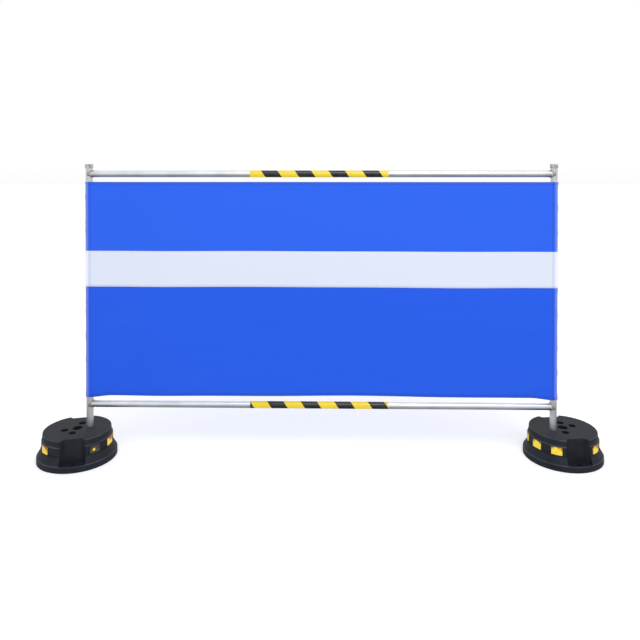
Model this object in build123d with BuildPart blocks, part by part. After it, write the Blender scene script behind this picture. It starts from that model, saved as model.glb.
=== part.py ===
"""A pedestrian safety fence: a welded pipe frame with a banner between the posts, standing in two heavy bases.

Millimetres, +Z up, the floor at Z = 0. The fence runs along X, its front faces -Y, and the origin is under its middle.
"""

import math
import os

from build123d import *

os.makedirs("parts", exist_ok=True)

# Pipe frame.
fence_width = 1775.0
fence_height = 1100.0
tube_diameter = 25.4
tube_wall = 1.6
top_rail_drop = 37.0
bottom_rail_height = 190.0
weld_size = 2.2

# Plastic caps and foot plugs of the posts.
cap_wall = 1.8
cap_height = 16.0
cap_clearance = 0.05
plug_flange = 3.0
plug_length = 25.0
plug_clearance = 0.05

# Hazard tape on the rails.
tape_length = 520.0
tape_thickness = 0.3
tape_shift = -3.0

# Banner.
banner_top_gap = 17.5
banner_bottom_gap = 16.0
banner_thickness = 1.0
sleeve_gap = 0.4
band_foot = 638.0
band_width = 135.0
band_thickness = 0.3
fastening_width = 20.0
fastening_thickness = 1.5
fastening_distance = 6.0
fastening_margin = 4.0

# Bases.
base_height = 105.0
base_turns = {"left": 14.0, "right": 7.0}
flange_width = 15.0
rim_height = 21.0
rim_chamfer = 2.0
shoulder_height = 46.0
body_diameter = 256.0
ledge_height = 50.0
reflector_band_width = 30.0
band_depth = 2.5
upper_body_step = 5.0
upper_body_taper = 1.5
top_rounding = 2.5
hole_circle_radius = 45.0
hole_angles = (15.0, 75.0, 195.0, 255.0)
post_hole_clearance = 0.8
middle_hole_diameter = 36.0
notch_width = 90.0
notch_inner_width = 61.0
notch_distance = 100.0
notch_wall_run = 16.0
anchor_hole_diameter = 16.0
anchor_hole_distance = 124.0

# Reflectors: their places are counted round the base from its front notch.
reflector_width = 38.0
reflector_margin = 1.5
reflector_thickness = 2.5
reflector_spacing = 36.0
reflector_places = {"left": (1, 2, 3, 4, 6, 7, 8.5), "right": (1, 2, 3, 4, 6, 7, 8, 9)}

tube_radius = tube_diameter / 2
top_rail_height = fence_height - top_rail_drop
banner_top = top_rail_height - tube_radius - banner_top_gap
banner_bottom = bottom_rail_height + tube_radius + banner_bottom_gap
post_distance = fence_width / 2 - tube_radius
post_top = fence_height - cap_wall
tape_radius = tube_radius + tape_thickness
sleeve_inner = tube_radius + sleeve_gap
sleeve_outer = sleeve_inner + banner_thickness
sheet_middle = -(sleeve_inner + sleeve_outer) / 2
band_middle = -(sleeve_outer + band_thickness / 2)
flange_radius = body_diameter / 2 + flange_width
band_radius = body_diameter / 2 - band_depth
upper_radius = body_diameter / 2 - upper_body_step
reflector_band_top = ledge_height + reflector_band_width
post_hole_radius = tube_radius + post_hole_clearance

sides = {"left": -1, "right": 1}
rails = {"top": top_rail_height, "bottom": bottom_rail_height}


def write(part, name):
    """Label a finished part and save it under its own name."""
    part.part.label = name
    export_step(part.part, f"parts/{name}.step")


def base_origin(side, turn):
    """Centre of a base: its post stands in the hole that looks toward the middle of the fence."""
    angle = math.radians(turn + hole_angles[0])
    return Vector(
        side * (post_distance + hole_circle_radius * math.cos(angle)),
        side * hole_circle_radius * math.sin(angle),
        0,
    )


def base_plane(side, turn):
    """Floor plane of a base, turned with it."""
    angle = math.radians(turn)
    return Plane(
        origin=base_origin(side, turn),
        x_dir=(math.cos(angle), math.sin(angle), 0),
        z_dir=(0, 0, 1),
    )


def section_plane(plane):
    """Upright plane through the middle of a base."""
    return Plane(origin=plane.origin, x_dir=plane.x_dir, z_dir=-plane.y_dir)


def make_post(side):
    """One upright pipe."""
    with BuildPart() as post:
        with BuildSketch(Plane.XY.offset(plug_flange)):
            with Locations((side * post_distance, 0)):
                Circle(tube_radius)
                Circle(tube_radius - tube_wall, mode=Mode.SUBTRACT)
        extrude(amount=post_top - plug_flange)
    return post


def make_rail(height):
    """One cross pipe, its ends cut round to sit against the posts."""
    with BuildPart() as rail:
        with BuildSketch(Plane.YZ):
            with Locations((0, height)):
                Circle(tube_radius)
                Circle(tube_radius - tube_wall, mode=Mode.SUBTRACT)
        extrude(amount=post_distance, both=True)
        with BuildSketch(Plane.XY.offset(height - tube_diameter)):
            with Locations((-post_distance, 0), (post_distance, 0)):
                Circle(tube_radius)
        extrude(amount=2 * tube_diameter, mode=Mode.SUBTRACT)
    return rail


def make_weld(side, height):
    """The bead where a rail meets a post: metal that is within the weld size of both pipes."""
    with BuildPart() as weld:
        with BuildSketch(Plane.YZ.offset(side * (post_distance - 2 * tube_radius))):
            with Locations((0, height)):
                Circle(tube_radius + weld_size)
        extrude(amount=side * (2 * tube_radius + weld_size))
        with BuildSketch(Plane.XY.offset(height - tube_diameter)):
            with Locations((side * post_distance, 0)):
                Circle(tube_radius + weld_size)
        extrude(amount=2 * tube_diameter, mode=Mode.INTERSECT)
        with BuildSketch(Plane.XY.offset(height - tube_diameter)):
            with Locations((side * post_distance, 0)):
                Circle(tube_radius)
        extrude(amount=2 * tube_diameter, mode=Mode.SUBTRACT)
        with BuildSketch(Plane.YZ):
            with Locations((0, height)):
                Circle(tube_radius)
        extrude(amount=side * fence_width, mode=Mode.SUBTRACT)
    return weld


def make_cap(side):
    """Plastic cap pushed over the top of a post."""
    with BuildPart() as cap:
        with BuildSketch(Plane.XY.offset(fence_height - cap_height)):
            with Locations((side * post_distance, 0)):
                Circle(tube_radius + cap_clearance + cap_wall)
        extrude(amount=cap_height)
        fillet(cap.edges().group_by(Axis.Z)[-1], cap_wall)
        with BuildSketch(Plane.XY.offset(fence_height - cap_height)):
            with Locations((side * post_distance, 0)):
                Circle(tube_radius + cap_clearance)
        extrude(amount=cap_height - cap_wall, mode=Mode.SUBTRACT)
    return cap


def make_plug(side):
    """Plastic plug in the lower end of a post, which the post stands on and turns round."""
    with BuildPart() as plug:
        with BuildSketch(Plane.XY):
            with Locations((side * post_distance, 0)):
                Circle(tube_radius)
        extrude(amount=plug_flange)
        with BuildSketch(Plane.XY.offset(plug_flange)):
            with Locations((side * post_distance, 0)):
                Circle(tube_radius - tube_wall - plug_clearance)
        extrude(amount=plug_length)
        chamfer(plug.edges().group_by(Axis.Z)[-1], 1.5)
    return plug


def make_tape(height):
    """Hazard tape wrapped round the middle of a rail."""
    with BuildPart() as tape:
        with BuildSketch(Plane.YZ.offset(tape_shift - tape_length / 2)):
            with Locations((0, height)):
                Circle(tape_radius)
                Circle(tube_radius, mode=Mode.SUBTRACT)
        extrude(amount=tape_length)
    return tape


def make_banner():
    """Banner sheet across the front of the posts, with a sleeve round each of them."""
    with BuildPart() as banner:
        with BuildSketch(Plane.XY.offset(banner_bottom)):
            with Locations((0, sheet_middle)):
                Rectangle(2 * post_distance, banner_thickness)
            with Locations((-post_distance, 0), (post_distance, 0)):
                Circle(sleeve_outer)
                Circle(sleeve_inner, mode=Mode.SUBTRACT)
        extrude(amount=banner_top - banner_bottom)
    return banner


def make_banner_band():
    """Pale band along the front of the banner."""
    with BuildPart() as band:
        with BuildSketch(Plane.XY.offset(band_foot)):
            with Locations((0, band_middle)):
                Rectangle(2 * post_distance, band_thickness)
        extrude(amount=band_width)
    return band


def make_fastening(side):
    """Strip of hook-and-loop tape behind the banner that closes the sleeve round its post."""
    distance = post_distance - sleeve_outer - fastening_distance - fastening_width / 2
    depth = -sleeve_inner + fastening_thickness / 2
    with BuildPart() as fastening:
        with BuildSketch(Plane.XY.offset(banner_bottom + fastening_margin)):
            with Locations((side * distance, depth)):
                Rectangle(fastening_width, fastening_thickness)
        extrude(amount=banner_top - banner_bottom - 2 * fastening_margin)
    return fastening


def make_base(plane):
    """Moulded base: flange, sloping shoulder, reflector band, two grip notches, five holes and two anchor holes."""
    with BuildPart() as base:
        with BuildSketch(section_plane(plane)):
            with BuildLine():
                Polyline(
                    (0, 0),
                    (flange_radius, 0),
                    (flange_radius, rim_height),
                    (flange_radius - rim_chamfer, rim_height + rim_chamfer),
                    (body_diameter / 2, shoulder_height),
                    (body_diameter / 2, ledge_height),
                    (band_radius, ledge_height),
                    (band_radius, reflector_band_top),
                    (upper_radius, reflector_band_top + upper_body_step - band_depth),
                    (upper_radius - upper_body_taper, base_height),
                    (0, base_height),
                    close=True,
                )
            make_face()
        revolve(axis=Axis(plane.origin, (0, 0, 1)))
        fillet(base.edges().group_by(Axis.Z)[-1], top_rounding)
        with BuildSketch(plane.offset(rim_height)):
            with BuildLine():
                Polyline(
                    (-notch_inner_width / 2, notch_distance),
                    (-notch_width / 2, notch_distance + notch_wall_run),
                    (-notch_width / 2, flange_radius),
                    (notch_width / 2, flange_radius),
                    (notch_width / 2, notch_distance + notch_wall_run),
                    (notch_inner_width / 2, notch_distance),
                    close=True,
                )
            make_face()
            mirror(about=Plane.XZ)
        extrude(amount=base_height, mode=Mode.SUBTRACT)
        with BuildSketch(plane):
            for angle in hole_angles:
                with PolarLocations(hole_circle_radius, 1, start_angle=angle):
                    Circle(post_hole_radius)
            Circle(middle_hole_diameter / 2)
            with Locations((0, -anchor_hole_distance), (0, anchor_hole_distance)):
                Circle(anchor_hole_diameter / 2)
        extrude(amount=base_height, mode=Mode.SUBTRACT)
    return base


def make_reflectors(plane, places):
    """Curved reflector plates stuck on the band of a base."""
    with BuildPart() as reflectors:
        with BuildSketch(plane.offset(ledge_height + reflector_margin)):
            Circle(band_radius + reflector_thickness)
            Circle(band_radius, mode=Mode.SUBTRACT)
        extrude(amount=reflector_band_width - 2 * reflector_margin)
        with BuildSketch(plane):
            for place in places:
                with PolarLocations(flange_radius, 1, start_angle=place * reflector_spacing - 90):
                    Rectangle(2 * flange_radius, reflector_width)
        extrude(amount=base_height, mode=Mode.INTERSECT)
    return reflectors


write(make_banner(), "banner")
write(make_banner_band(), "banner_band")
for rail_name, rail_height in rails.items():
    write(make_rail(rail_height), f"{rail_name}_rail")
    write(make_tape(rail_height), f"{rail_name}_hazard_tape")
for side_name, side in sides.items():
    floor_plane = base_plane(side, base_turns[side_name])
    write(make_post(side), f"{side_name}_post")
    write(make_cap(side), f"{side_name}_post_cap")
    write(make_plug(side), f"{side_name}_foot_plug")
    write(make_fastening(side), f"{side_name}_sleeve_fastening")
    write(make_base(floor_plane), f"{side_name}_base")
    write(make_reflectors(floor_plane, reflector_places[side_name]), f"{side_name}_reflectors")
    for rail_name, rail_height in rails.items():
        write(make_weld(side, rail_height), f"{rail_name}_{side_name}_weld")
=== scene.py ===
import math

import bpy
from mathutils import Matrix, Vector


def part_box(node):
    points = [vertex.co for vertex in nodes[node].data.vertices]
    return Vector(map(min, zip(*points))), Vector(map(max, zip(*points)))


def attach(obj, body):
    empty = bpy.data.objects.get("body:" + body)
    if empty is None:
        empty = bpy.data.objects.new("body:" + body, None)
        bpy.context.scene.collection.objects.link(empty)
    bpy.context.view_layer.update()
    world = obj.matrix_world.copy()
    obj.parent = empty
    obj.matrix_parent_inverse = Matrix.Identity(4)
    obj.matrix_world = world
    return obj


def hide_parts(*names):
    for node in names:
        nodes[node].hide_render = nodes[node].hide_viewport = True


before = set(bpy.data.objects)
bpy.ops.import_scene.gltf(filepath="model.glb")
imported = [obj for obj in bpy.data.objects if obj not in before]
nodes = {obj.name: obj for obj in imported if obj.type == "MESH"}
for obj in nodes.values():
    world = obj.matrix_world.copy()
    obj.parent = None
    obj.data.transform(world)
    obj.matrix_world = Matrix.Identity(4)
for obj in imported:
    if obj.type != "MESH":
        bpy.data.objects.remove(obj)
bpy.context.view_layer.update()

# A pedestrian safety fence: galvanised pipe frame, mesh banner, hazard tape and two moulded bases.
# Metres, +Z up. The fence runs along X and its front faces -Y.


# Places and sizes, read from the frame.

def middle(node_name):
    """Centre of a node's box."""
    low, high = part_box(node_name)
    return (low + high) / 2


RAILS = ("top", "bottom")
SIDES = ("left", "right")
post_x = middle("right_post").x
tube_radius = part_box("right_post")[1].x - post_x
rail_z = {name: middle(name + "_rail").z for name in RAILS}
banner_low, banner_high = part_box("banner")
band_low, band_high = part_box("banner_band")
sleeve_radius = (banner_high.y - banner_low.y) / 2
fastening_low, fastening_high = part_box("right_sleeve_fastening")
base_low, base_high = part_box("left_base")
reflector_low, reflector_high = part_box("left_reflectors")
tape_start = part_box("top_hazard_tape")[0].x

# Banner cloth: thickness, hem height, the flap behind the sheet, and the lower edge's corners and arch.
CLOTH = 0.0007
HEM = 0.008
FLAP = 0.055
CORNER_DROP = 0.008
CORNER_RUN = 0.090
FOOT_ARCH = 0.002

# The painted crease shade beside each post, and half its width.
CREASE_SHADE_INSET = 0.006
CREASE_SHADE_HALF = 0.005

# How far inward of the post's middle the painted sheen on the sleeves starts.
SHEEN_START = 0.005

# The heat of welding: how far from the post's middle its tint starts and is full, and its strength.
HEAT_START = 0.034
HEAT_FULL = 0.008
HEAT_TINT = 0.2

# Hazard tape: stripe spacing along the rail, black share, lean, and the plain stretch before the first black.
STRIPE_PITCH = 0.1265
STRIPE_BLACK = 0.49
STRIPE_LEAN = 0.65
STRIPE_START = {"top": 0.050, "bottom": 0.0747}

# Rubber bases: painted highlights along the edges of the rim, of the ledge over the reflectors, and of the
# top.
RIM_HEIGHT = 0.0215
LEDGE_RISE = 0.003
LEDGE_INSET = 0.018
TOP_DROP = 0.0017
TOP_INSET = 0.023
HIGHLIGHT_HALF = 0.0015
HIGHLIGHT_REACH = 0.004
rim_radius = (base_high.y - base_low.y) / 2
HIGHLIGHT_EDGES = (
    (RIM_HEIGHT, rim_radius),
    (reflector_high.z + LEDGE_RISE, rim_radius - LEDGE_INSET),
    (base_high.z - TOP_DROP, rim_radius - TOP_INSET),
)

# Reflectors: their upper part is painted a dark amber as painted shade. It starts and is full at these
# heights over their top, for a height that noise raises by up to the last of these values.
SHADED_TOP_START = 0.019
SHADED_TOP_FULL = 0.027
SHADED_TOP_WANDER = 0.06

# The one reflector that is caked in dirt, and how far the dirt reaches round its middle.
DIRT_REACH = 0.030
DIRTY_TURN = math.radians(-42)
REFLECTOR_RADIUS = 0.126
REFLECTOR_DROP = 0.002
CLEAN_RADIUS = 0.004
CAKED_RADIUS = 0.0065
dirty_direction = Vector((math.cos(DIRTY_TURN), math.sin(DIRTY_TURN), 0))
dirty_reflector = middle("left_base") + REFLECTOR_RADIUS * dirty_direction
dirty_reflector.z = (reflector_low.z + reflector_high.z) / 2 - REFLECTOR_DROP

# Sockets of a colour Mix node.
COLOUR_A = 6
COLOUR_B = 7
COLOUR_OUT = 2


# Materials.

def linear(code):
    """An sRGB hex colour as linear red, green, blue and alpha."""
    values = [int(code[i:i + 2], 16) / 255 for i in (0, 2, 4)]
    return [v / 12.92 if v <= 0.04045 else ((v + 0.055) / 1.055) ** 2.4 for v in values] + [1.0]


def scale(millimetres):
    """Texture scale at which one cell is about this long; a wave repeats about three times in that length."""
    return 1000 / millimetres


def new_material(name):
    """A named material and its Principled shader."""
    material = bpy.data.materials.new(name)
    material.use_nodes = True
    return material, material.node_tree.nodes["Principled BSDF"]


def add(owner, kind, links=None, values=None, **settings):
    """Add one node: settings are its properties, values its inputs' values, links its inputs' sources."""
    node = owner.node_tree.nodes.new(kind)
    for key, value in settings.items():
        setattr(node, key, value)
    for key, value in (values or {}).items():
        node.inputs[key].default_value = value
    for key, source in (links or {}).items():
        owner.node_tree.links.new(source, node.inputs[key])
    return node


def join(material, shader, **sources):
    """Link sources to the shader's sockets; an underscore in a name stands for a space."""
    for key, source in sources.items():
        material.node_tree.links.new(source, shader.inputs[key.replace("_", " ")])


def make_galvanised():
    """Hot-dip galvanised steel pipe: soft bright zinc, faintly spangled, browned by welding at the joints."""
    material, shader = new_material("hot_dip_galvanised_steel")
    place = add(material, "ShaderNodeTexCoord").outputs["Object"]
    parts = add(material, "ShaderNodeSeparateXYZ", {"Vector": place})
    spangle = add(material, "ShaderNodeTexVoronoi", {"Vector": place}, {"Scale": scale(7)})
    cloud = add(material, "ShaderNodeTexNoise", {"Vector": place}, {"Scale": scale(60), "Detail": 5.0})
    grey = add(
        material, "ShaderNodeMix", {"Factor": cloud.outputs["Fac"]},
        {COLOUR_A: linear("c6cbd0"), COLOUR_B: linear("eff2f5")}, data_type="RGBA",
    )
    zinc = add(
        material, "ShaderNodeMix",
        {COLOUR_A: grey.outputs[COLOUR_OUT], COLOUR_B: spangle.outputs["Color"]},
        {"Factor": 0.07}, data_type="RGBA", blend_type="SOFT_LIGHT",
    )
    across = add(material, "ShaderNodeMath", {0: parts.outputs["X"]}, operation="ABSOLUTE")
    ragged = add(
        material, "ShaderNodeMath", {0: cloud.outputs["Fac"], 2: across.outputs[0]}, {1: 0.02},
        operation="MULTIPLY_ADD",
    )
    near_post = add(
        material, "ShaderNodeMapRange", {"Value": ragged.outputs[0]},
        {"From Min": post_x - HEAT_START, "From Max": post_x - HEAT_FULL},
    )
    near_rail = {}
    for name in RAILS:
        above = add(
            material, "ShaderNodeMath", {0: parts.outputs["Z"]}, {1: rail_z[name]}, operation="SUBTRACT"
        )
        apart = add(material, "ShaderNodeMath", {0: above.outputs[0]}, operation="ABSOLUTE")
        near_rail[name] = add(
            material, "ShaderNodeMapRange", {"Value": apart.outputs[0]},
            {"From Min": tube_radius, "From Max": 3 * tube_radius, "To Min": 1.0, "To Max": 0.0},
        )
    at_rails = add(
        material, "ShaderNodeMath",
        {0: near_rail["top"].outputs[0], 1: near_rail["bottom"].outputs[0]}, operation="ADD",
    )
    burn = add(
        material, "ShaderNodeMath", {0: near_post.outputs[0], 1: at_rails.outputs[0]}, operation="MULTIPLY"
    )
    faint = add(material, "ShaderNodeMath", {0: burn.outputs[0]}, {1: HEAT_TINT}, operation="MULTIPLY")
    colour = add(
        material, "ShaderNodeMix",
        {"Factor": faint.outputs[0], COLOUR_A: zinc.outputs[COLOUR_OUT]},
        {COLOUR_B: linear("8a6f55")}, data_type="RGBA",
    )
    rough = add(
        material, "ShaderNodeMapRange", {"Value": cloud.outputs["Fac"]}, {"To Min": 0.3, "To Max": 0.46}
    )
    grain = add(material, "ShaderNodeTexNoise", {"Vector": place}, {"Scale": scale(3), "Detail": 3.0})
    bump = add(
        material, "ShaderNodeBump", {"Height": grain.outputs["Fac"]}, {"Strength": 0.12, "Distance": 0.0003}
    )
    join(
        material, shader, Base_Color=colour.outputs[COLOUR_OUT], Roughness=rough.outputs[0],
        Normal=bump.outputs["Normal"],
    )
    shader.inputs["Metallic"].default_value = 1.0
    return material


def make_weld():
    """Mig weld bead: rippled steel, grey where it is clean and brown where the zinc burnt off."""
    material, shader = new_material("mig_weld_steel")
    place = add(material, "ShaderNodeTexCoord").outputs["Object"]
    cloud = add(material, "ShaderNodeTexNoise", {"Vector": place}, {"Scale": scale(4), "Detail": 4.0})
    colour = add(
        material, "ShaderNodeMix", {"Factor": cloud.outputs["Fac"]},
        {COLOUR_A: linear("6f5a46"), COLOUR_B: linear("c3c1bc")}, data_type="RGBA",
    )
    ripple = add(
        material, "ShaderNodeTexWave", {"Vector": place}, {"Scale": scale(9), "Distortion": 6.0},
        bands_direction="DIAGONAL",
    )
    bump = add(
        material, "ShaderNodeBump", {"Height": ripple.outputs["Fac"]}, {"Strength": 0.6, "Distance": 0.0006}
    )
    join(material, shader, Base_Color=colour.outputs[COLOUR_OUT], Normal=bump.outputs["Normal"])
    shader.inputs["Metallic"].default_value = 0.9
    shader.inputs["Roughness"].default_value = 0.42
    return material


def make_rubber(side):
    """Moulded recycled rubber: bluish charcoal, faintly pitted, with painted highlights as pale lines along
    its edges.
    """
    material, shader = new_material("moulded_recycled_rubber_" + side)
    place = add(material, "ShaderNodeTexCoord").outputs["Object"]
    parts = add(material, "ShaderNodeSeparateXYZ", {"Vector": place})
    cloud = add(material, "ShaderNodeTexNoise", {"Vector": place}, {"Scale": scale(45), "Detail": 6.0})
    crumb = add(material, "ShaderNodeTexNoise", {"Vector": place}, {"Scale": scale(2.5), "Detail": 3.0})
    colour = add(
        material, "ShaderNodeMix", {"Factor": cloud.outputs["Fac"]},
        {COLOUR_A: linear("111419"), COLOUR_B: linear("282c34")}, data_type="RGBA",
    )
    outward = add(
        material, "ShaderNodeVectorMath", {0: place}, {1: middle(side + "_base")}, operation="SUBTRACT"
    )
    flat = add(
        material, "ShaderNodeVectorMath", {0: outward.outputs[0]}, {1: (1.0, 1.0, 0.0)}, operation="MULTIPLY"
    )
    radius = add(material, "ShaderNodeVectorMath", {0: flat.outputs[0]}, operation="LENGTH")
    # Each edge level gets a patchy pale line: a painted highlight where light catches that edge.
    for level, edge_radius in HIGHLIGHT_EDGES:
        near = add(
            material, "ShaderNodeMath", {0: parts.outputs["Z"]}, {1: level, 2: HIGHLIGHT_HALF},
            operation="COMPARE",
        )
        outside = add(
            material, "ShaderNodeMath", {0: radius.outputs["Value"]}, {1: edge_radius - HIGHLIGHT_REACH},
            operation="GREATER_THAN",
        )
        edge = add(
            material, "ShaderNodeMath", {0: near.outputs[0], 1: outside.outputs[0]}, operation="MULTIPLY"
        )
        patchy = add(
            material, "ShaderNodeMath", {0: edge.outputs[0], 1: cloud.outputs["Fac"]}, operation="MULTIPLY"
        )
        colour = add(
            material, "ShaderNodeMix",
            {"Factor": patchy.outputs[0], COLOUR_A: colour.outputs[COLOUR_OUT]},
            {COLOUR_B: linear("4d525b")}, data_type="RGBA",
        )
    bump = add(
        material, "ShaderNodeBump", {"Height": crumb.outputs["Fac"]}, {"Strength": 0.3, "Distance": 0.0006}
    )
    rough = add(
        material, "ShaderNodeMapRange", {"Value": cloud.outputs["Fac"]}, {"To Min": 0.45, "To Max": 0.7}
    )
    join(
        material, shader, Base_Color=colour.outputs[COLOUR_OUT], Roughness=rough.outputs[0],
        Normal=bump.outputs["Normal"],
    )
    shader.inputs["Specular IOR Level"].default_value = 0.15
    return material


def make_cap_plastic():
    """Moulded polyethylene cap: dull mid grey, scuffed paler in places."""
    material, shader = new_material("moulded_polyethylene")
    place = add(material, "ShaderNodeTexCoord").outputs["Object"]
    scuff = add(material, "ShaderNodeTexNoise", {"Vector": place}, {"Scale": scale(9), "Detail": 4.0})
    contrast = add(
        material, "ShaderNodeMapRange", {"Value": scuff.outputs["Fac"]}, {"From Min": 0.35, "From Max": 0.65}
    )
    colour = add(
        material, "ShaderNodeMix", {"Factor": contrast.outputs[0]},
        {COLOUR_A: linear("77787b"), COLOUR_B: linear("b2b3b6")}, data_type="RGBA",
    )
    join(material, shader, Base_Color=colour.outputs[COLOUR_OUT])
    shader.inputs["Roughness"].default_value = 0.5
    return material


def make_fastening():
    """Nylon hook-and-loop tape: black, matt and fuzzy."""
    material, shader = new_material("nylon_hook_and_loop")
    place = add(material, "ShaderNodeTexCoord").outputs["Object"]
    loops = add(material, "ShaderNodeTexVoronoi", {"Vector": place}, {"Scale": scale(1.2)})
    colour = add(
        material, "ShaderNodeMix", {"Factor": loops.outputs["Distance"]},
        {COLOUR_A: linear("2c2d31"), COLOUR_B: linear("0c0d0f")}, data_type="RGBA",
    )
    bump = add(
        material, "ShaderNodeBump", {"Height": loops.outputs["Distance"]},
        {"Strength": 0.7, "Distance": 0.0006},
    )
    join(material, shader, Base_Color=colour.outputs[COLOUR_OUT], Normal=bump.outputs["Normal"])
    shader.inputs["Roughness"].default_value = 0.85
    return material


def make_reflector():
    """Prismatic polycarbonate reflector: bright yellow cells, a dark amber painted shade higher up, and one
    caked in dirt.
    """
    material, shader = new_material("prismatic_polycarbonate")
    place = add(material, "ShaderNodeTexCoord").outputs["Object"]
    parts = add(material, "ShaderNodeSeparateXYZ", {"Vector": place})
    cells = add(material, "ShaderNodeTexVoronoi", {"Vector": place}, {"Scale": scale(3)})
    cloud = add(material, "ShaderNodeTexNoise", {"Vector": place}, {"Scale": scale(25), "Detail": 3.0})
    yellow = add(
        material, "ShaderNodeMix", {"Factor": cells.outputs["Distance"]},
        {COLOUR_A: linear("ffe63c"), COLOUR_B: linear("e2b51a")}, data_type="RGBA",
    )
    # Dark amber over the upper part of each reflector: painted shade.
    uneven = add(
        material, "ShaderNodeMath", {0: cloud.outputs["Fac"], 2: parts.outputs["Z"]}, {1: SHADED_TOP_WANDER},
        operation="MULTIPLY_ADD",
    )
    upper = add(
        material, "ShaderNodeMapRange", {"Value": uneven.outputs[0]},
        {
            "From Min": reflector_high.z + SHADED_TOP_START, "From Max": reflector_high.z + SHADED_TOP_FULL,
            "To Max": 0.9,
        },
    )
    shaded_amber = add(
        material, "ShaderNodeMix",
        {"Factor": upper.outputs[0], COLOUR_A: yellow.outputs[COLOUR_OUT]},
        {COLOUR_B: linear("8a5410")}, data_type="RGBA",
    )
    away = add(
        material, "ShaderNodeVectorMath", {0: place}, {1: dirty_reflector}, operation="DISTANCE"
    )
    caked = add(
        material, "ShaderNodeMath", {0: away.outputs["Value"]}, {1: DIRT_REACH}, operation="LESS_THAN"
    )
    clean = add(
        material, "ShaderNodeMapRange", {"Value": away.outputs["Value"]},
        {"From Min": CLEAN_RADIUS, "From Max": CAKED_RADIUS, "To Max": 0.94},
    )
    dirt = add(
        material, "ShaderNodeMath", {0: caked.outputs[0], 1: clean.outputs[0]}, operation="MULTIPLY"
    )
    colour = add(
        material, "ShaderNodeMix",
        {"Factor": dirt.outputs[0], COLOUR_A: shaded_amber.outputs[COLOUR_OUT]},
        {COLOUR_B: linear("1b1c20")}, data_type="RGBA",
    )
    bump = add(
        material, "ShaderNodeBump", {"Height": cells.outputs["Distance"]},
        {"Strength": 0.4, "Distance": 0.0005},
    )
    join(material, shader, Base_Color=colour.outputs[COLOUR_OUT], Normal=bump.outputs["Normal"])
    shader.inputs["Roughness"].default_value = 0.3
    shader.inputs["Coat Weight"].default_value = 0.3
    return material


def make_tape(rail_name):
    """Vinyl hazard tape wound round a rail: leaning black and yellow stripes, glossy."""
    material, shader = new_material("pvc_tape_" + rail_name)
    place = add(material, "ShaderNodeTexCoord").outputs["Object"]
    parts = add(material, "ShaderNodeSeparateXYZ", {"Vector": place})
    height = add(
        material, "ShaderNodeMath", {0: parts.outputs["Z"]}, {1: rail_z[rail_name]}, operation="SUBTRACT"
    )
    forward = add(material, "ShaderNodeMath", {0: parts.outputs["Y"]}, {1: -1.0}, operation="MULTIPLY")
    turn = add(
        material, "ShaderNodeMath", {0: height.outputs[0], 1: forward.outputs[0]}, operation="ARCTAN2"
    )
    leaning = add(
        material, "ShaderNodeMath", {0: turn.outputs[0], 2: parts.outputs["X"]},
        {1: tube_radius * STRIPE_LEAN}, operation="MULTIPLY_ADD",
    )
    first_black = tape_start + STRIPE_START[rail_name]
    along = add(material, "ShaderNodeMath", {0: leaning.outputs[0]}, {1: first_black}, operation="SUBTRACT")
    pitches = add(material, "ShaderNodeMath", {0: along.outputs[0]}, {1: STRIPE_PITCH}, operation="DIVIDE")
    share = add(material, "ShaderNodeMath", {0: pitches.outputs[0]}, operation="FRACT")
    black = add(material, "ShaderNodeMath", {0: share.outputs[0]}, {1: STRIPE_BLACK}, operation="LESS_THAN")
    stripes = add(
        material, "ShaderNodeMix", {"Factor": black.outputs[0]},
        {COLOUR_A: linear("dfc31f"), COLOUR_B: linear("101318")}, data_type="RGBA",
    )
    grime = add(material, "ShaderNodeTexNoise", {"Vector": place}, {"Scale": scale(18), "Detail": 4.0})
    worn = add(
        material, "ShaderNodeMapRange", {"Value": grime.outputs["Fac"]}, {"From Min": 0.4, "To Max": 0.16}
    )
    colour = add(
        material, "ShaderNodeMix",
        {"Factor": worn.outputs[0], COLOUR_A: stripes.outputs[COLOUR_OUT]},
        {COLOUR_B: linear("6d6a60")}, data_type="RGBA",
    )
    join(material, shader, Base_Color=colour.outputs[COLOUR_OUT])
    shader.inputs["Roughness"].default_value = 0.22
    return material


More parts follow.
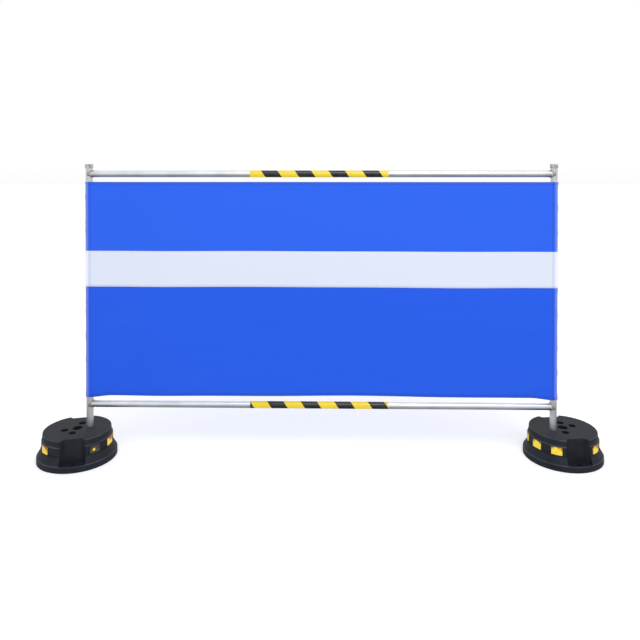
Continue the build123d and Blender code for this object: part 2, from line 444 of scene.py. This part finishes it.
def make_mesh_cloth(name, upper, lower, thread, limb, crease):
    """PVC-coated polyester mesh: square weave with a soft sheen, painted lighter above and darker below as
    painted light, with a painted sheen where it bends round the posts and painted shade along the crease
    beside each post.

    The threads are drawn 3 mm wide, coarser than real ones, so that they show.
    """
    material, shader = new_material(name)
    place = add(material, "ShaderNodeTexCoord").outputs["Object"]
    parts = add(material, "ShaderNodeSeparateXYZ", {"Vector": place})
    # Lighter above the pale band and darker below it: painted light falling from above.
    level = add(
        material, "ShaderNodeMapRange", {"Value": parts.outputs["Z"]},
        {"From Min": band_low.z, "From Max": band_high.z},
    )
    streaks = add(material, "ShaderNodeMapping", {"Vector": place}, {"Scale": (0.25, 1.0, 6.0)})
    cloud = add(
        material, "ShaderNodeTexNoise", {"Vector": streaks.outputs["Vector"]},
        {"Scale": scale(90), "Detail": 4.0},
    )
    colour = add(
        material, "ShaderNodeMix", {"Factor": level.outputs[0]},
        {COLOUR_A: linear(lower), COLOUR_B: linear(upper)}, data_type="RGBA",
    )
    warp = add(material, "ShaderNodeTexWave", {"Vector": place}, {"Scale": scale(19)}, bands_direction="X")
    weft = add(material, "ShaderNodeTexWave", {"Vector": place}, {"Scale": scale(19)}, bands_direction="Z")
    weave = add(
        material, "ShaderNodeMath", {0: warp.outputs["Fac"], 1: weft.outputs["Fac"]}, operation="MULTIPLY"
    )
    uneven = add(
        material, "ShaderNodeMath", {0: weave.outputs[0], 1: cloud.outputs["Fac"]}, operation="MULTIPLY"
    )
    # Paler towards the outer edge of each sleeve: painted sheen where the cloth turns away round the post.
    reach = add(material, "ShaderNodeMath", {0: parts.outputs["X"]}, operation="ABSOLUTE")
    painted_sheen = add(
        material, "ShaderNodeMapRange", {"Value": reach.outputs[0]},
        {"From Min": post_x - SHEEN_START, "From Max": post_x + sleeve_radius, "To Max": 0.75},
    )
    # A darker line beside each post, its strength waving along the height: painted shade of the crease where
    # the sleeve meets the flat sheet.
    crease_band = add(
        material, "ShaderNodeMath", {0: reach.outputs[0]}, {1: post_x - CREASE_SHADE_INSET, 2: CREASE_SHADE_HALF},
        operation="COMPARE",
    )
    dash = add(
        material, "ShaderNodeTexWave", {"Vector": place}, {"Scale": scale(30)}, bands_direction="Z"
    )
    shade_dashes = add(
        material, "ShaderNodeMapRange", {"Value": dash.outputs["Fac"]}, {"To Min": 0.3, "To Max": 0.5}
    )
    crease_shade = add(
        material, "ShaderNodeMath", {0: crease_band.outputs[0], 1: shade_dashes.outputs[0]}, operation="MULTIPLY"
    )
    woven = add(
        material, "ShaderNodeMapRange", {"Value": uneven.outputs[0]}, {"From Max": 0.6, "To Max": 0.25}
    )
    for share, tone in ((woven, thread), (painted_sheen, limb), (crease_shade, crease)):
        colour = add(
            material, "ShaderNodeMix",
            {"Factor": share.outputs[0], COLOUR_A: colour.outputs[COLOUR_OUT]},
            {COLOUR_B: linear(tone)}, data_type="RGBA",
        )
    bump = add(
        material, "ShaderNodeBump", {"Height": weave.outputs[0]}, {"Strength": 0.25, "Distance": 0.0004}
    )
    join(material, shader, Base_Color=colour.outputs[COLOUR_OUT], Normal=bump.outputs["Normal"])
    shader.inputs["Roughness"].default_value = 0.55
    shader.inputs["Specular IOR Level"].default_value = 0.2
    shader.inputs["Sheen Weight"].default_value = 0.1
    shader.inputs["Sheen Roughness"].default_value = 0.35
    return material


galvanised = make_galvanised()
weld = make_weld()
cap_plastic = make_cap_plastic()
fastening = make_fastening()
reflector = make_reflector()
rubber = {side: make_rubber(side) for side in SIDES}
tape = {name: make_tape(name) for name in RAILS}
blue_cloth = make_mesh_cloth("pvc_coated_mesh", "1e57d6", "124fcf", "3a6cf0", "93a2dc", "1646b4")
hem_cloth = make_mesh_cloth("pvc_coated_mesh_doubled", "3558bf", "1a4ab8", "3a62d4", "93a2dc", "1646b4")
pale_cloth = make_mesh_cloth("pvc_coated_pale_mesh", "cad0de", "cad0de", "b3bbd2", "eceef4", "aab4d6")


def dress(node_name, material):
    """Give a CAD node one material."""
    mesh = nodes[node_name].data
    mesh.materials.clear()
    mesh.materials.append(material)


finishes = {
    "_post": galvanised, "_rail": galvanised, "_weld": weld, "_cap": cap_plastic,
    "_plug": cap_plastic, "_reflectors": reflector, "_fastening": fastening,
}
for node_name in nodes:
    for ending, material in finishes.items():
        if node_name.endswith(ending):
            dress(node_name, material)
for rail_name in RAILS:
    dress(rail_name + "_hazard_tape", tape[rail_name])
for side in SIDES:
    dress(side + "_base", rubber[side])


# Banner.

# Depth of the sheet's middle surface in front, its radius round a post, how far past the post's back it turns
# inward, half its flat length, and the gap behind it that holds the fastening strip.
FRONT = -sleeve_radius + CLOTH / 2
CURVE = sleeve_radius - CLOTH / 2
TUCK = math.radians(60)
SHEET_HALF = post_x + math.pi * CURVE + FLAP
BACK_GAP = fastening_high.y - fastening_low.y + 2 * CLOTH

# Soft waves of the sheet: depth, turn per metre along, turn per share of the height, and start.
WAVES = ((0.0045, 5.2, 1.6, 1.1), (0.0022, 11.0, -2.3, 0.0), (0.0018, 3.1, 7.0, 0.0))
CALM_MARGIN = 0.05
CALM_RUN = 0.25

# Creases of the sleeves: depth, turn per metre of height, and turn per metre along.
CREASES = ((0.0010, 61.0, 1.0), (0.0007, 143.0, 0.0))

# Columns of faces along the sheet, and how far the hems and the band lie in front of it.
COLUMNS = 420
OVERLAY = CLOTH * 1.05


def ease(share):
    """A smooth step from 0 to 1."""
    share = max(0.0, min(1.0, share))
    return share * share * (3 - 2 * share)


def foot(reach):
    """Height of the sheet's lower edge at a distance from its middle: arched, its corners pulled down."""
    along = reach / post_x
    corner = ease((reach - post_x + CORNER_RUN) / CORNER_RUN)
    return banner_low.z + CORNER_DROP * (1 - corner) + FOOT_ARCH * max(0.0, 1 - along * along)


def sway(along, level):
    """Depth of the sheet's soft waves, which fade out before the sleeves."""
    calm = ease((post_x - CALM_MARGIN - abs(along)) / CALM_RUN)
    return calm * sum(
        depth * math.sin(across * along + up * level + start) for depth, across, up, start in WAVES
    )


def path(reach, stand):
    """Where a point at a distance from the sheet's middle lies in plan, once the sheet is round a post.

    The sheet goes round the post to TUCK past its back, then straight in, and lies flat behind itself.
    """
    if reach <= post_x:
        return reach, FRONT - stand
    radius = CURVE + stand
    behind = FRONT + BACK_GAP + stand
    turn = (reach - post_x) / CURVE
    if turn <= math.pi + TUCK:
        return post_x + radius * math.sin(turn), -radius * math.cos(turn)
    inward = post_x - radius * math.sin(TUCK)
    backward = radius * math.cos(TUCK)
    slope = (backward - behind) / math.sin(TUCK)
    rest = reach - post_x - CURVE * (math.pi + TUCK)
    if rest <= slope:
        return inward - rest * math.cos(TUCK), backward - rest * math.sin(TUCK)
    return inward - slope * math.cos(TUCK) - (rest - slope), behind


def sheet_point(along, share, low, high, stand):
    """A point of a strip of the sheet, from its place along the sheet and its share between two edges."""
    reach = abs(along)
    across, depth = path(reach, stand)
    height = low(across) + (high(across) - low(across)) * share
    level = (height - banner_low.z) / (banner_high.z - banner_low.z)
    turn = max(0.0, min(math.pi, (reach - post_x) / CURVE))
    ripple = sum(size * math.sin(up * height + sideways * along) for size, up, sideways in CREASES)
    crease = max(0.0, ripple) * math.sin(turn)
    across += crease * math.sin(turn)
    depth += sway(along, level) - crease * math.cos(turn)
    return Vector((math.copysign(across, along), depth, height))


def strip(name, low, high, stand, rows, material):
    """A strip of the sheet, bent round the posts; each edge gives a height for a distance from the middle."""
    bpy.ops.object.select_all(action="DESELECT")
    bpy.ops.mesh.primitive_grid_add(
        x_subdivisions=COLUMNS, y_subdivisions=rows, size=2.0, location=(0, 0, 0),
        rotation=(math.pi / 2, 0, 0),
    )
    piece = bpy.context.object
    piece.name = name
    bpy.ops.object.transform_apply(location=True, rotation=True, scale=True)
    for vertex in piece.data.vertices:
        vertex.co = sheet_point(vertex.co.x * SHEET_HALF, (vertex.co.z + 1) / 2, low, high, stand)
    solid = piece.modifiers.new("thickness", "SOLIDIFY")
    solid.thickness = CLOTH
    solid.offset = 0.0
    bpy.ops.object.modifier_apply(modifier="thickness")
    bpy.ops.object.shade_smooth()
    piece.data.materials.clear()
    piece.data.materials.append(material)
    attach(piece, "frame")
    return piece


def top(reach):
    """Height of the sheet's upper edge, the same all along."""
    return banner_high.z


sheet = strip("banner_sheet", foot, top, 0.0, 60, blue_cloth)
top_hem = strip("banner_top_hem", lambda reach: top(reach) - HEM, top, OVERLAY, 3, hem_cloth)
bottom_hem = strip("banner_bottom_hem", foot, lambda reach: foot(reach) + HEM, OVERLAY, 3, hem_cloth)
pale_band = strip(
    "banner_pale_band", lambda reach: band_low.z, lambda reach: band_high.z, OVERLAY, 12, pale_cloth
)
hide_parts("banner")
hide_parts("banner_band")


# Floor, light and camera.

bpy.ops.object.select_all(action="DESELECT")
bpy.ops.mesh.primitive_plane_add(size=80.0, location=(0, 0, 0))
floor = bpy.context.object
floor.name = "studio_floor"
floor.visible_glossy = False
paper, paper_shader = new_material("matt_studio_paper")
paper_shader.inputs["Base Color"].default_value = linear("f8f9fa")
paper_shader.inputs["Roughness"].default_value = 1.0
paper_shader.inputs["Specular IOR Level"].default_value = 0.0
paper_shader.inputs["Emission Color"].default_value = linear("ffffff")
paper_shader.inputs["Emission Strength"].default_value = 0.15
floor.data.materials.append(paper)

# White all round above the horizon, and a grey ground for the pipes to mirror below it.
world = bpy.data.worlds.new("studio")
world.use_nodes = True
bpy.context.scene.world = world
background = world.node_tree.nodes["Background"]
direction = add(world, "ShaderNodeTexCoord").outputs["Generated"]
upward = add(world, "ShaderNodeSeparateXYZ", {"Vector": direction})
horizon = add(
    world, "ShaderNodeMapRange", {"Value": upward.outputs["Z"]}, {"From Min": -0.5, "From Max": 0.0}
)
sky = add(
    world, "ShaderNodeMix", {"Factor": horizon.outputs[0]},
    {COLOUR_A: linear("9c9fa2"), COLOUR_B: linear("ffffff")}, data_type="RGBA",
)
world.node_tree.links.new(sky.outputs[COLOUR_OUT], background.inputs["Color"])
bpy.context.scene.view_settings.view_transform = "Standard"


def softbox(name, place, size, watts, aim):
    """A large square area light pointed at a place."""
    bpy.ops.object.light_add(type="AREA", location=place)
    lamp = bpy.context.object
    lamp.name = name
    lamp.data.shape = "SQUARE"
    lamp.data.size = size
    lamp.data.energy = watts
    lamp.rotation_euler = (Vector(aim) - Vector(place)).to_track_quat("-Z", "Y").to_euler()


softbox("key_light", (0.6, -2.4, 3.4), 2.0, 45.0, (0, 0, 0.5))

CAMERA_DISTANCE = 2.35
CAMERA_HEIGHT = 1.082
CAMERA_YAW = 0.0189
CAMERA_TILT = math.radians(0.6)
CAMERA_LENS = 35.13
CAMERA_SHIFT = -0.226
bpy.ops.object.camera_add(
    location=(CAMERA_DISTANCE * math.sin(CAMERA_YAW), -CAMERA_DISTANCE * math.cos(CAMERA_YAW), CAMERA_HEIGHT),
    rotation=(math.pi / 2 - CAMERA_TILT, 0, CAMERA_YAW),
)
camera = bpy.context.object
camera.data.lens = CAMERA_LENS
camera.data.sensor_width = 36.0
camera.data.shift_y = CAMERA_SHIFT
bpy.context.scene.camera = camera
